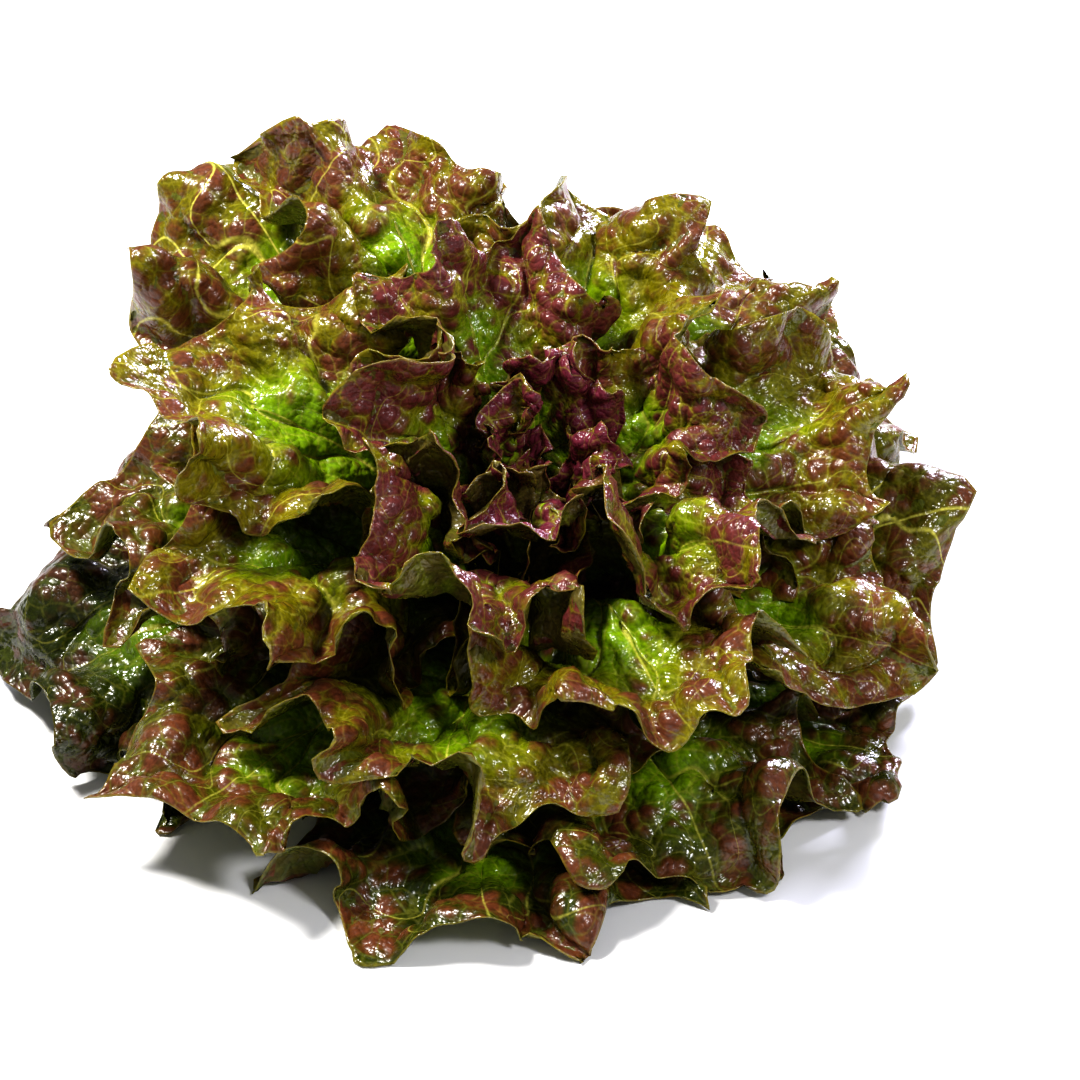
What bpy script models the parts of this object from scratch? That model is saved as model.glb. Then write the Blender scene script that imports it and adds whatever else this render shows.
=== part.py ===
"""A cut head of red leaf lettuce, resting on its stem and its lowest leaves.

Metres, +Z up. The origin is the centre of the stem's cut face, which lies flat on the surface.
Every leaf is one thin waved sheet that grows from the stem. The space round the stem is read as a stack
of bowl-shaped layers, from the surface (layer 0) up to the stem's own direction (layer 1). A leaf lies in
its layer, waves up and down from it, and is lifted wherever it would meet a leaf below or the surface.
"""

from math import pi, radians

import bmesh
import bpy
import numpy as np
from mathutils import Matrix

# The whole head leans, as it settles on its front leaves.
LEAN = radians(18)
LEAN_TOWARDS = radians(300)

# The stem tapers from layer 0 to layer 1. The leaves leave it from FOOT_LOW up, over FOOT_RISE.
STEM_RADIUS = 0.015
STEM_TAPER = 0.55
STEM_FLARE = 1.14
STEM_TIP = 0.004
STEM_SIDES = 20
STEM_GAP = 0.0006
FOOT_LOW = 0.012
FOOT_RISE = 0.040

# A layer leaves the stem at this angle above the level and then bends down, in radians a metre.
START_ANGLE = radians(14)
START_ANGLE_RISE = radians(72)
BEND = 4.6
BEND_LOSS = 2.4

# The flat outline of a leaf: a narrow foot, a fan of rays from the midrib, a round top with pointed lobes.
FOOT_SHARE = 0.16
FAN_SHARE = 0.62
FULLNESS = 1.2
TOP_ROUNDNESS = 1.55
POINTS = 9
POINT_DEPTH = 0.13
LOBE_DEPTH = 0.08

# Each wave of the edge leans over into a fold and carries ripples. Near the foot the edge is plain.
FOLD = 0.42
RIPPLE_SHARE = 0.22
RIPPLE_RATE = 2.3
UNEVEN_HEIGHT = 0.35
PLAIN_FOOT = 0.08
PLAIN_FADE = 0.4

BLADE_THICKNESS = 0.0008
RIB_THICKNESS = 0.0038
RIB_SHARE = 0.1

# A leaf stays this clear of the surface and of the leaf below, where it is this far out from the stem.
SURFACE_GAP = 0.0007
LEAF_GAP_AT_FOOT = 0.0016
LEAF_GAP = 0.0044
FULL_GAP_FROM = 0.1

# The mesh of a leaf: its rays on each side of the midrib, and how far out along them its points are.
OUTER_RAYS = 14
INNER_RAYS = 12
RAY_SHARES = (0, RIB_SHARE, 0.45, 0.75, 1)

# The map of what the leaves so far reach, by direction and distance from the stem.
MAP_DIRECTIONS = 240
MAP_DISTANCES = 64
MAP_REACH = 0.215
MAP_LAYERS = np.linspace(-0.6, 1.2, 361)
SHEET_PLACES = 121
SHEET_SHARES = 33
LIFT_ROUNDS = 160

# Each leaf: name, direction in degrees, layer, length, half width, height of its waves, how many waves.
LEAVES = (
    ("outer_back", 88, -0.150, 0.165, 0.072, 0.014, 7),
    ("outer_left_back", 160, -0.020, 0.168, 0.072, 0.015, 7),
    ("outer_front", 266, 0.000, 0.176, 0.070, 0.011, 7),
    ("outer_right_low", 330, 0.055, 0.160, 0.070, 0.013, 7),
    ("outer_left_low", 195, 0.060, 0.186, 0.070, 0.013, 7),
    ("outer_front_right", 297, 0.105, 0.160, 0.068, 0.014, 7),
    ("outer_front_left", 229, 0.150, 0.172, 0.070, 0.015, 7),
    ("outer_right_back", 40, 0.200, 0.188, 0.062, 0.015, 7),
    ("outer_left", 184, 0.225, 0.156, 0.066, 0.017, 7),
    ("outer_right", 8, 0.230, 0.158, 0.072, 0.017, 7),
    ("middle_front", 256, 0.290, 0.152, 0.068, 0.018, 7),
    ("outer_back_right", 66, 0.300, 0.182, 0.066, 0.018, 7),
    ("outer_back_left", 132, 0.310, 0.210, 0.073, 0.018, 7),
    ("middle_right", 340, 0.330, 0.144, 0.066, 0.018, 7),
    ("middle_left_low", 205, 0.380, 0.156, 0.066, 0.018, 7),
    ("middle_right_back", 24, 0.410, 0.150, 0.060, 0.018, 7),
    ("middle_back", 118, 0.430, 0.192, 0.056, 0.018, 7),
    ("middle_front_right", 294, 0.440, 0.142, 0.060, 0.018, 7),
    ("middle_left", 174, 0.475, 0.166, 0.064, 0.018, 7),
    ("middle_back_right", 82, 0.505, 0.152, 0.060, 0.018, 7),
    ("inner_front", 240, 0.550, 0.128, 0.056, 0.017, 7),
    ("inner_right", 325, 0.585, 0.122, 0.055, 0.017, 6),
    ("inner_back", 118, 0.620, 0.134, 0.050, 0.017, 6),
    ("inner_left", 188, 0.660, 0.115, 0.048, 0.015, 6),
    ("inner_right_back", 30, 0.695, 0.110, 0.048, 0.015, 6),
    ("heart_front", 275, 0.740, 0.095, 0.042, 0.012, 6),
    ("heart_back", 95, 0.785, 0.090, 0.038, 0.012, 6),
    ("heart_left", 170, 0.830, 0.080, 0.034, 0.010, 6),
    ("heart_right", 350, 0.875, 0.070, 0.030, 0.008, 6),
    ("heart_middle", 250, 0.920, 0.055, 0.024, 0.006, 6),
)

COLOURS = {
    "outer": (0.105, 0.110, 0.018),
    "middle": (0.130, 0.105, 0.020),
    "inner": (0.130, 0.070, 0.022),
    "heart": (0.105, 0.030, 0.028),
    "stem": (0.640, 0.660, 0.400),
}

LEAN_AXIS = (-np.sin(LEAN_TOWARDS), np.cos(LEAN_TOWARDS), 0)
LEAN_MATRIX = np.array(Matrix.Rotation(LEAN, 3, LEAN_AXIS))


def smooth(x):
    x = np.clip(x, 0, 1)
    return x * x * (3 - 2 * x)


def layer_point(layer, distance):
    """How far from the stem's axis and how high a layer is, at a distance along it from the stem."""
    start = START_ANGLE + START_ANGLE_RISE * layer
    bend = BEND - BEND_LOSS * layer
    angle = start - bend * distance
    radius = STEM_RADIUS * (1 - STEM_TAPER * layer) + (np.sin(start) - np.sin(angle)) / bend
    height = FOOT_LOW + FOOT_RISE * layer + (np.cos(angle) - np.cos(start)) / bend
    return radius, height


def layer_depth(layer, distance):
    """Metres from a layer to the next whole one, at a distance along it."""
    step = 0.01
    below = layer_point(layer - step, distance)
    above = layer_point(layer + step, distance)
    return np.hypot(above[0] - below[0], above[1] - below[1]) / (2 * step)


def place(layer, direction, distance):
    """The point in space of a layer, with the head's lean."""
    radius, height = layer_point(layer, distance)
    upright = np.broadcast_arrays(radius * np.cos(direction), radius * np.sin(direction), height)
    return np.stack(upright, axis=-1) @ LEAN_MATRIX.T


def between(table, row, column):
    """The table's value at fractional rows and columns."""
    row = np.clip(row, 0, table.shape[0] - 1.001)
    column = np.clip(column, 0, table.shape[1] - 1.001)
    r, c = row.astype(int), column.astype(int)
    across, along = row - r, column - c
    near = table[r, c] * (1 - across) + table[r + 1, c] * across
    far = table[r, c + 1] * (1 - across) + table[r + 1, c + 1] * across
    return near * (1 - along) + far * along


class Leaf:
    """A leaf. Two numbers give a point on it: edge, from 0 on one side of its foot round its edge to 1 on
    the other, and out, from 0 at the midrib to 1 at the edge."""

    def __init__(self, number, name, direction, layer, length, half_width, wave_height, waves):
        self.name = name
        self.direction = radians(direction)
        self.layer = layer
        self.length = length
        self.half_width = half_width
        self.wave_height = wave_height
        self.waves = waves
        self.rays = OUTER_RAYS if name.split("_")[0] in ("outer", "middle") else INNER_RAYS
        self.drift = np.random.default_rng(number).uniform(0, 2 * pi, 8)
        self.lift = np.zeros((SHEET_PLACES, SHEET_SHARES))

    def nodes(self):
        """The places of the mesh's points."""
        return np.meshgrid(np.linspace(0, 1, 2 * self.rays + 1), RAY_SHARES, indexing="ij")

    def looseness(self, edge):
        """How much of its waves and points the edge has: none near the foot."""
        return smooth((1 - np.abs(2 * edge - 1) - PLAIN_FOOT) / PLAIN_FADE)

    def flat(self, edge, out):
        """Where a point is on the leaf laid flat: across from the midrib, and along it."""
        up = 1 - np.abs(2 * edge - 1)
        width = self.half_width * (FOOT_SHARE * (1 - up) + np.sin(pi * up**FULLNESS) ** 0.9)
        edge_along = self.length * (1 - (1 - up) ** TOP_ROUNDNESS)
        root_along = FAN_SHARE * self.length * up
        uneven = 0.012 * np.sin(4 * pi * edge + self.drift[5])
        points = np.abs(np.sin(pi * POINTS * (edge + uneven) + self.drift[6]))
        lobes = np.sin(6 * pi * edge + self.drift[7])
        cut = (LOBE_DEPTH * lobes - POINT_DEPTH * points) * self.looseness(edge)
        reach = out * (1 + cut * out**2)
        return np.sign(edge - 0.5) * width * reach, root_along + (edge_along - root_along) * reach

    def wave(self, edge):
        """How far round its waves a place on the edge is, in radians."""
        slow = 0.022 * np.sin(4 * pi * edge + self.drift[0])
        quick = 0.013 * np.sin(10 * pi * edge + self.drift[1])
        return 2 * pi * self.waves * (edge + slow + quick) + self.drift[2]

    def free_sheet(self, edge, out):
        """Layer, direction and distance of a point, with its waves and nothing else in the way."""
        wave = self.wave(edge)
        loose = self.looseness(edge)
        slide = FOLD * loose * out**2.5 * np.sin(2 * wave) / (2 * pi * self.waves)
        across, along = self.flat(np.clip(edge - slide, 0, 1), out)
        uneven = 1 + UNEVEN_HEIGHT * np.sin(3 * pi * edge + self.drift[3])
        rise = self.wave_height * loose * uneven * out**2 * np.sin(wave)
        ripple_wave = np.sin(RIPPLE_RATE * wave + self.drift[4])
        ripple = self.wave_height * loose * RIPPLE_SHARE * out**4 * ripple_wave
        layer = self.layer + (rise + ripple) / layer_depth(self.layer, along)
        radius, _ = layer_point(self.layer, along)
        return layer, self.direction + across / radius, np.maximum(along, 0)

    def thickness(self, edge, out):
        """Thick in the rib, thinner towards its tip and the edge."""
        up = 1 - np.abs(2 * edge - 1)
        rib = (1 - up) * (1 - smooth(out / RIB_SHARE))
        return BLADE_THICKNESS + (RIB_THICKNESS - BLADE_THICKNESS) * rib

    def sheet(self, edge, out):
        """Layer, direction and distance of a point as the leaf lies in the head."""
        layer, direction, distance = self.free_sheet(edge, out)
        lift = between(self.lift, edge * (SHEET_PLACES - 1), out * (SHEET_SHARES - 1))
        return layer + lift, direction, distance


def surface_map():
    """The layer that is just clear of the surface the head rests on, by direction and distance."""
    direction = np.linspace(0, 2 * pi, MAP_DIRECTIONS, endpoint=False)[:, None, None]
    distance = np.linspace(0, MAP_REACH, MAP_DISTANCES)[None, :, None]
    height = place(MAP_LAYERS, direction, distance)[..., 2] - BLADE_THICKNESS - SURFACE_GAP
    first = np.clip(np.argmax(height >= 0, axis=2), 1, None)[..., None]
    above = np.take_along_axis(height, first, axis=2)[..., 0]
    below = np.take_along_axis(height, first - 1, axis=2)[..., 0]
    share = np.clip(-below / (above - below), 0, 1)
    return MAP_LAYERS[first[..., 0] - 1] + share * (MAP_LAYERS[1] - MAP_LAYERS[0])


def read_map(table, direction, distance):
    """A map's value in a direction and at a distance from the stem."""
    turned = np.vstack([table, table[:1]])
    row = (direction / (2 * pi) * MAP_DIRECTIONS) % MAP_DIRECTIONS
    return between(turned, row, distance / MAP_REACH * (MAP_DISTANCES - 1))


def raise_map(table, layer, direction, distance):
    """The map with a leaf laid on it, one cell wider than the leaf all round."""
    row = np.round(direction / (2 * pi) * MAP_DIRECTIONS).astype(int) % MAP_DIRECTIONS
    column = np.round(distance / MAP_REACH * (MAP_DISTANCES - 1)).astype(int)
    column = np.clip(column, 0, MAP_DISTANCES - 1)
    leaf = np.full(table.shape, MAP_LAYERS[0])
    np.maximum.at(leaf, (row, column), layer)
    leaf = np.maximum.reduce([np.roll(leaf, turn, axis=0) for turn in (-1, 0, 1)])
    padded = np.pad(leaf, ((0, 0), (1, 1)), mode="edge")
    return np.maximum(table, np.maximum.reduce([padded[:, :-2], padded[:, 1:-1], padded[:, 2:]]))


def settle(leaf, surface, below):
    """Lifts the leaf clear of the surface and of the leaves below, smoothly, as a springy sheet lies."""
    places, shares = np.linspace(0, 1, SHEET_PLACES), np.linspace(0, 1, SHEET_SHARES)
    edge, out = np.meshgrid(places, shares, indexing="ij")
    layer, direction, distance = leaf.free_sheet(edge, out)
    gap = LEAF_GAP_AT_FOOT + (LEAF_GAP - LEAF_GAP_AT_FOOT) * smooth(distance / FULL_GAP_FROM)
    room = gap + leaf.thickness(edge, out)
    over_leaves = read_map(below, direction, distance) + room / layer_depth(layer, distance)
    needed = np.maximum(np.maximum(over_leaves, read_map(surface, direction, distance)) - layer, 0)
    lift = needed
    for _ in range(LIFT_ROUNDS):
        padded = np.pad(lift, 1, mode="edge")
        mean = (padded[2:, 1:-1] + padded[:-2, 1:-1] + padded[1:-1, 2:] + padded[1:-1, :-2]) / 4
        mean[:, 0] = (mean[:, 0] + mean[::-1, 0]) / 2
        lift = np.maximum(needed, mean)
    leaf.lift = lift
    return raise_map(below, layer + lift, direction, distance)


def grown_leaves():
    """All the leaves, settled one on another from the lowest layer to the highest."""
    surface = surface_map()
    below = np.full(surface.shape, MAP_LAYERS[0])
    leaves = [Leaf(number, *row) for number, row in enumerate(LEAVES, start=1)]
    for leaf in leaves:
        below = settle(leaf, surface, below)
    return leaves


def material(name):
    finish = bpy.data.materials.new(name)
    finish.use_nodes = True
    shader = finish.node_tree.nodes["Principled BSDF"]
    shader.inputs["Base Color"].default_value = (*COLOURS[name], 1)
    shader.inputs["Roughness"].default_value = 0.4
    return finish


def add_object(name, mesh, finish):
    mesh.materials.append(finish)
    mesh.shade_smooth()
    thing = bpy.data.objects.new(name, mesh)
    bpy.context.scene.collection.objects.link(thing)
    return thing


def leaf_object(leaf, finish):
    """The leaf's sheet, thickened downwards. Both sides share the points of the midrib."""
    edge, out = leaf.nodes()
    places, shares = edge.shape
    layer, direction, distance = leaf.sheet(edge, out)
    layer[:, 0] = (layer[:, 0] + layer[::-1, 0]) / 2
    points = place(layer, direction, distance).reshape(-1, 3)

    index = np.arange(places * shares).reshape(places, shares)
    index[leaf.rays + 1 :, 0] = index[: leaf.rays, 0][::-1]
    triangles = []
    for i in range(places - 1):
        for j in range(shares - 1):
            inner, outer = index[i, j], index[i, j + 1]
            next_inner, next_outer = index[i + 1, j], index[i + 1, j + 1]
            triangles += [(inner, outer, next_outer), (inner, next_outer, next_inner)]
    used = np.unique(triangles)
    renumber = np.zeros(len(points), int)
    renumber[used] = np.arange(len(used))
    mesh = bpy.data.meshes.new(leaf.name)
    mesh.from_pydata(points[used].tolist(), [], renumber[np.array(triangles)].tolist())
    blade = add_object("leaf_" + leaf.name, mesh, finish)
    rib = blade.vertex_groups.new(name="rib")
    thickness = leaf.thickness(edge, out).reshape(-1)[used] / RIB_THICKNESS
    for number, share in enumerate(thickness):
        rib.add([number], float(share), "REPLACE")
    solid = blade.modifiers.new("Thickness", "SOLIDIFY")
    solid.thickness = RIB_THICKNESS
    solid.offset = -1
    solid.vertex_group = rib.name


def stem_object(finish):
    """The stem: a cone turned round the head's axis, leaned with it and cut level at the surface."""
    top = STEM_RADIUS * (1 - STEM_TAPER) - STEM_GAP
    profile = (
        (0, -FOOT_LOW),
        (STEM_RADIUS * STEM_FLARE - STEM_GAP, -FOOT_LOW),
        (STEM_RADIUS - STEM_GAP, FOOT_LOW),
        (top, FOOT_LOW + FOOT_RISE),
        (top * 0.6, FOOT_LOW + FOOT_RISE + STEM_TIP * 0.8),
        (0, FOOT_LOW + FOOT_RISE + STEM_TIP),
    )
    shape = bmesh.new()
    points = [shape.verts.new((radius, 0, height)) for radius, height in profile]
    edges = [shape.edges.new(pair) for pair in zip(points, points[1:])]
    turned = {"cent": (0, 0, 0), "axis": (0, 0, 1), "angle": 2 * pi, "steps": STEM_SIDES}
    bmesh.ops.spin(shape, geom=points + edges, **turned)
    bmesh.ops.remove_doubles(shape, verts=shape.verts, dist=1e-5)
    bmesh.ops.transform(shape, matrix=Matrix(LEAN_MATRIX.tolist()).to_4x4(), verts=shape.verts)
    everything = list(shape.verts) + list(shape.edges) + list(shape.faces)
    surface = {"plane_co": (0, 0, 0), "plane_no": (0, 0, 1), "clear_inner": True}
    cut = bmesh.ops.bisect_plane(shape, geom=everything, **surface)["geom_cut"]
    bmesh.ops.edgeloop_fill(shape, edges=[edge for edge in cut if isinstance(edge, bmesh.types.BMEdge)])
    bmesh.ops.recalc_face_normals(shape, faces=shape.faces)
    mesh = bpy.data.meshes.new("stem")
    shape.to_mesh(mesh)
    shape.free()
    add_object("stem", mesh, finish)


def main():
    for thing in list(bpy.data.objects):
        bpy.data.objects.remove(thing)
    finishes = {name: material(name) for name in COLOURS}
    stem_object(finishes["stem"])
    for leaf in grown_leaves():
        leaf_object(leaf, finishes[leaf.name.split("_")[0]])


main()
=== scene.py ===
"""The looks of a cut head of red leaf lettuce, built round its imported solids.

Metres, +Z up, in the frame of the solids. Every leaf is grown again from the numbers that its solid was
grown from, and takes the solid's place as a finer closed sheet: its margin curls and ripples, its blade
puffs up between the veins and in blisters, and its colours follow the same veins and blisters.
"""

from math import cos, pi, radians, sin

import bmesh
import bpy
import numpy as np
from mathutils import Matrix, Vector


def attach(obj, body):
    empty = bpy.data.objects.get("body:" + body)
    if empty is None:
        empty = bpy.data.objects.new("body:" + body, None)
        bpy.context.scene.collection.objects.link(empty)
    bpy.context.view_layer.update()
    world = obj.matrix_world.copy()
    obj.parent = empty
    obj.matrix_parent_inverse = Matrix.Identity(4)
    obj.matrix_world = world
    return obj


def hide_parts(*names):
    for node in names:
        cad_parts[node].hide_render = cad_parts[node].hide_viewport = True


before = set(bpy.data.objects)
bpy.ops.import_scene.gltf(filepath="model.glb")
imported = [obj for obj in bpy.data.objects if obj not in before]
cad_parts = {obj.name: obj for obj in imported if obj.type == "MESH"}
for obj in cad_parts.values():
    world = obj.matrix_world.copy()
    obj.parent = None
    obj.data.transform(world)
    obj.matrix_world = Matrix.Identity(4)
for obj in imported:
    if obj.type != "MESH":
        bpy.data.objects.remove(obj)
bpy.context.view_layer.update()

# The whole head leans, as it settles on its front leaves.
LEAN = radians(18)
LEAN_TOWARDS = radians(300)

# The stem tapers from layer 0 to layer 1. The leaves leave it from FOOT_LOW up, over FOOT_RISE.
STEM_RADIUS = 0.015
STEM_TAPER = 0.55
STEM_FLARE = 1.14
STEM_TIP = 0.004
STEM_GAP = 0.0006
FOOT_LOW = 0.012
FOOT_RISE = 0.040

# A layer leaves the stem at this angle above the level and then bends down, in radians a metre.
START_ANGLE = radians(14)
START_ANGLE_RISE = radians(72)
BEND = 4.6
BEND_LOSS = 2.4

# The flat outline of a leaf: a narrow foot, a fan of rays from the midrib, a round top with pointed lobes.
FOOT_SHARE = 0.16
FAN_SHARE = 0.62
FULLNESS = 1.2
TOP_ROUNDNESS = 1.55
POINTS = 9
POINT_DEPTH = 0.13
LOBE_DEPTH = 0.08

# Each wave of the edge leans over into a fold and carries ripples. Near the foot the edge is plain.
FOLD = 0.42
RIPPLE_SHARE = 0.22
RIPPLE_RATE = 2.3
UNEVEN_HEIGHT = 0.35
PLAIN_FOOT = 0.08
PLAIN_FADE = 0.4

BLADE_THICKNESS = 0.0008
RIB_THICKNESS = 0.0038
RIB_SHARE = 0.1

# A leaf stays this clear of the surface and of the leaf below, where it is this far out from the stem.
SURFACE_GAP = 0.0007
LEAF_GAP_AT_FOOT = 0.0016
LEAF_GAP = 0.0044
FULL_GAP_FROM = 0.1

# The map of what the leaves so far reach, by direction and distance from the stem.
MAP_DIRECTIONS = 240
MAP_DISTANCES = 64
MAP_REACH = 0.215
MAP_LAYERS = np.linspace(-0.6, 1.2, 361)
SHEET_PLACES = 121
SHEET_SHARES = 33
LIFT_ROUNDS = 160

# Each leaf: name, direction in degrees, layer, length, half width, height of its waves, how many waves.
LEAVES = (
    ("outer_back", 88, -0.150, 0.165, 0.072, 0.014, 7),
    ("outer_left_back", 160, -0.020, 0.168, 0.072, 0.015, 7),
    ("outer_front", 266, 0.000, 0.176, 0.070, 0.011, 7),
    ("outer_right_low", 330, 0.055, 0.160, 0.070, 0.013, 7),
    ("outer_left_low", 195, 0.060, 0.186, 0.070, 0.013, 7),
    ("outer_front_right", 297, 0.105, 0.160, 0.068, 0.014, 7),
    ("outer_front_left", 229, 0.150, 0.172, 0.070, 0.015, 7),
    ("outer_right_back", 40, 0.200, 0.188, 0.062, 0.015, 7),
    ("outer_left", 184, 0.225, 0.156, 0.066, 0.017, 7),
    ("outer_right", 8, 0.230, 0.158, 0.072, 0.017, 7),
    ("middle_front", 256, 0.290, 0.152, 0.068, 0.018, 7),
    ("outer_back_right", 66, 0.300, 0.182, 0.066, 0.018, 7),
    ("outer_back_left", 132, 0.310, 0.210, 0.073, 0.018, 7),
    ("middle_right", 340, 0.330, 0.144, 0.066, 0.018, 7),
    ("middle_left_low", 205, 0.380, 0.156, 0.066, 0.018, 7),
    ("middle_right_back", 24, 0.410, 0.150, 0.060, 0.018, 7),
    ("middle_back", 118, 0.430, 0.192, 0.056, 0.018, 7),
    ("middle_front_right", 294, 0.440, 0.142, 0.060, 0.018, 7),
    ("middle_left", 174, 0.475, 0.166, 0.064, 0.018, 7),
    ("middle_back_right", 82, 0.505, 0.152, 0.060, 0.018, 7),
    ("inner_front", 240, 0.550, 0.128, 0.056, 0.017, 7),
    ("inner_right", 325, 0.585, 0.122, 0.055, 0.017, 6),
    ("inner_back", 118, 0.620, 0.134, 0.050, 0.017, 6),
    ("inner_left", 188, 0.660, 0.115, 0.048, 0.015, 6),
    ("inner_right_back", 30, 0.695, 0.110, 0.048, 0.015, 6),
    ("heart_front", 275, 0.740, 0.095, 0.042, 0.012, 6),
    ("heart_back", 95, 0.785, 0.090, 0.038, 0.012, 6),
    ("heart_left", 170, 0.830, 0.080, 0.034, 0.010, 6),
    ("heart_right", 350, 0.875, 0.070, 0.030, 0.008, 6),
    ("heart_middle", 250, 0.920, 0.055, 0.024, 0.006, 6),
)

LEAN_AXIS = (-np.sin(LEAN_TOWARDS), np.cos(LEAN_TOWARDS), 0)
LEAN_MATRIX = np.array(Matrix.Rotation(LEAN, 3, LEAN_AXIS))


def smooth(x):
    x = np.clip(x, 0, 1)
    return x * x * (3 - 2 * x)


def layer_point(layer, distance):
    """How far from the stem's axis and how high a layer is, at a distance along it from the stem."""
    start = START_ANGLE + START_ANGLE_RISE * layer
    bend = BEND - BEND_LOSS * layer
    angle = start - bend * distance
    radius = STEM_RADIUS * (1 - STEM_TAPER * layer) + (np.sin(start) - np.sin(angle)) / bend
    height = FOOT_LOW + FOOT_RISE * layer + (np.cos(angle) - np.cos(start)) / bend
    return radius, height


def layer_depth(layer, distance):
    """Metres from a layer to the next whole one, at a distance along it."""
    step = 0.01
    below = layer_point(layer - step, distance)
    above = layer_point(layer + step, distance)
    return np.hypot(above[0] - below[0], above[1] - below[1]) / (2 * step)


def place(layer, direction, distance):
    """The point in space of a layer, with the head's lean."""
    radius, height = layer_point(layer, distance)
    upright = np.broadcast_arrays(radius * np.cos(direction), radius * np.sin(direction), height)
    return np.stack(upright, axis=-1) @ LEAN_MATRIX.T


def between(table, row, column):
    """The table's value at fractional rows and columns."""
    row = np.clip(row, 0, table.shape[0] - 1.001)
    column = np.clip(column, 0, table.shape[1] - 1.001)
    r, c = row.astype(int), column.astype(int)
    across, along = row - r, column - c
    near = table[r, c] * (1 - across) + table[r + 1, c] * across
    far = table[r, c + 1] * (1 - across) + table[r + 1, c + 1] * across
    return near * (1 - along) + far * along


class Leaf:
    """A leaf. Two numbers give a point on it: edge, from 0 on one side of its foot round its edge to 1 on
    the other, and out, from 0 at the midrib to 1 at the edge."""

    def __init__(self, number, name, direction, layer, length, half_width, wave_height, waves):
        self.name = name
        self.direction = radians(direction)
        self.layer = layer
        self.length = length
        self.half_width = half_width
        self.wave_height = wave_height
        self.waves = waves
        self.drift = np.random.default_rng(number).uniform(0, 2 * pi, 8)
        self.lift = np.zeros((SHEET_PLACES, SHEET_SHARES))

    def looseness(self, edge):
        """How much of its waves and points the edge has: none near the foot."""
        return smooth((1 - np.abs(2 * edge - 1) - PLAIN_FOOT) / PLAIN_FADE)

    def point_phase(self, edge):
        """Whole numbers at the points of the lobes."""
        uneven = 0.012 * np.sin(4 * pi * edge + self.drift[5])
        return POINTS * (edge + uneven) + self.drift[6] / pi

    def flat(self, edge, out):
        """Where a point is on the leaf laid flat: across from the midrib, and along it."""
        up = 1 - np.abs(2 * edge - 1)
        width = self.half_width * (FOOT_SHARE * (1 - up) + np.sin(pi * up**FULLNESS) ** 0.9)
        edge_along = self.length * (1 - (1 - up) ** TOP_ROUNDNESS)
        root_along = FAN_SHARE * self.length * up
        points = np.abs(np.sin(pi * self.point_phase(edge)))
        lobes = np.sin(6 * pi * edge + self.drift[7])
        cut = (LOBE_DEPTH * lobes - POINT_DEPTH * points) * self.looseness(edge)
        reach = out * (1 + cut * out**2)
        return np.sign(edge - 0.5) * width * reach, root_along + (edge_along - root_along) * reach

    def wave(self, edge):
        """How far round its waves a place on the edge is, in radians."""
        slow = 0.022 * np.sin(4 * pi * edge + self.drift[0])
        quick = 0.013 * np.sin(10 * pi * edge + self.drift[1])
        return 2 * pi * self.waves * (edge + slow + quick) + self.drift[2]

    def free_sheet(self, edge, out):
        """Layer, direction and distance of a point, with its waves and nothing else in the way."""
        wave = self.wave(edge)
        loose = self.looseness(edge)
        slide = FOLD * loose * out**2.5 * np.sin(2 * wave) / (2 * pi * self.waves)
        across, along = self.flat(np.clip(edge - slide, 0, 1), out)
        uneven = 1 + UNEVEN_HEIGHT * np.sin(3 * pi * edge + self.drift[3])
        rise = self.wave_height * loose * uneven * out**2 * np.sin(wave)
        ripple_wave = np.sin(RIPPLE_RATE * wave + self.drift[4])
        ripple = self.wave_height * loose * RIPPLE_SHARE * out**4 * ripple_wave
        layer = self.layer + (rise + ripple) / layer_depth(self.layer, along)
        radius, _ = layer_point(self.layer, along)
        return layer, self.direction + across / radius, np.maximum(along, 0)

    def thickness(self, edge, out):
        """Thick in the rib, thinner towards its tip and the edge."""
        up = 1 - np.abs(2 * edge - 1)
        rib = (1 - up) * (1 - smooth(out / RIB_SHARE))
        return BLADE_THICKNESS + (RIB_THICKNESS - BLADE_THICKNESS) * rib

    def sheet(self, edge, out):
        """Layer, direction and distance of a point as the leaf lies in the head."""
        layer, direction, distance = self.free_sheet(edge, out)
        lift = between(self.lift, edge * (SHEET_PLACES - 1), out * (SHEET_SHARES - 1))
        return layer + lift, direction, distance


def surface_map():
    """The layer that is just clear of the surface the head rests on, by direction and distance."""
    direction = np.linspace(0, 2 * pi, MAP_DIRECTIONS, endpoint=False)[:, None, None]
    distance = np.linspace(0, MAP_REACH, MAP_DISTANCES)[None, :, None]
    height = place(MAP_LAYERS, direction, distance)[..., 2] - BLADE_THICKNESS - SURFACE_GAP
    first = np.clip(np.argmax(height >= 0, axis=2), 1, None)[..., None]
    above = np.take_along_axis(height, first, axis=2)[..., 0]
    below = np.take_along_axis(height, first - 1, axis=2)[..., 0]
    share = np.clip(-below / (above - below), 0, 1)
    return MAP_LAYERS[first[..., 0] - 1] + share * (MAP_LAYERS[1] - MAP_LAYERS[0])


def read_map(table, direction, distance):
    """A map's value in a direction and at a distance from the stem."""
    turned = np.vstack([table, table[:1]])
    row = (direction / (2 * pi) * MAP_DIRECTIONS) % MAP_DIRECTIONS
    return between(turned, row, distance / MAP_REACH * (MAP_DISTANCES - 1))


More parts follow.
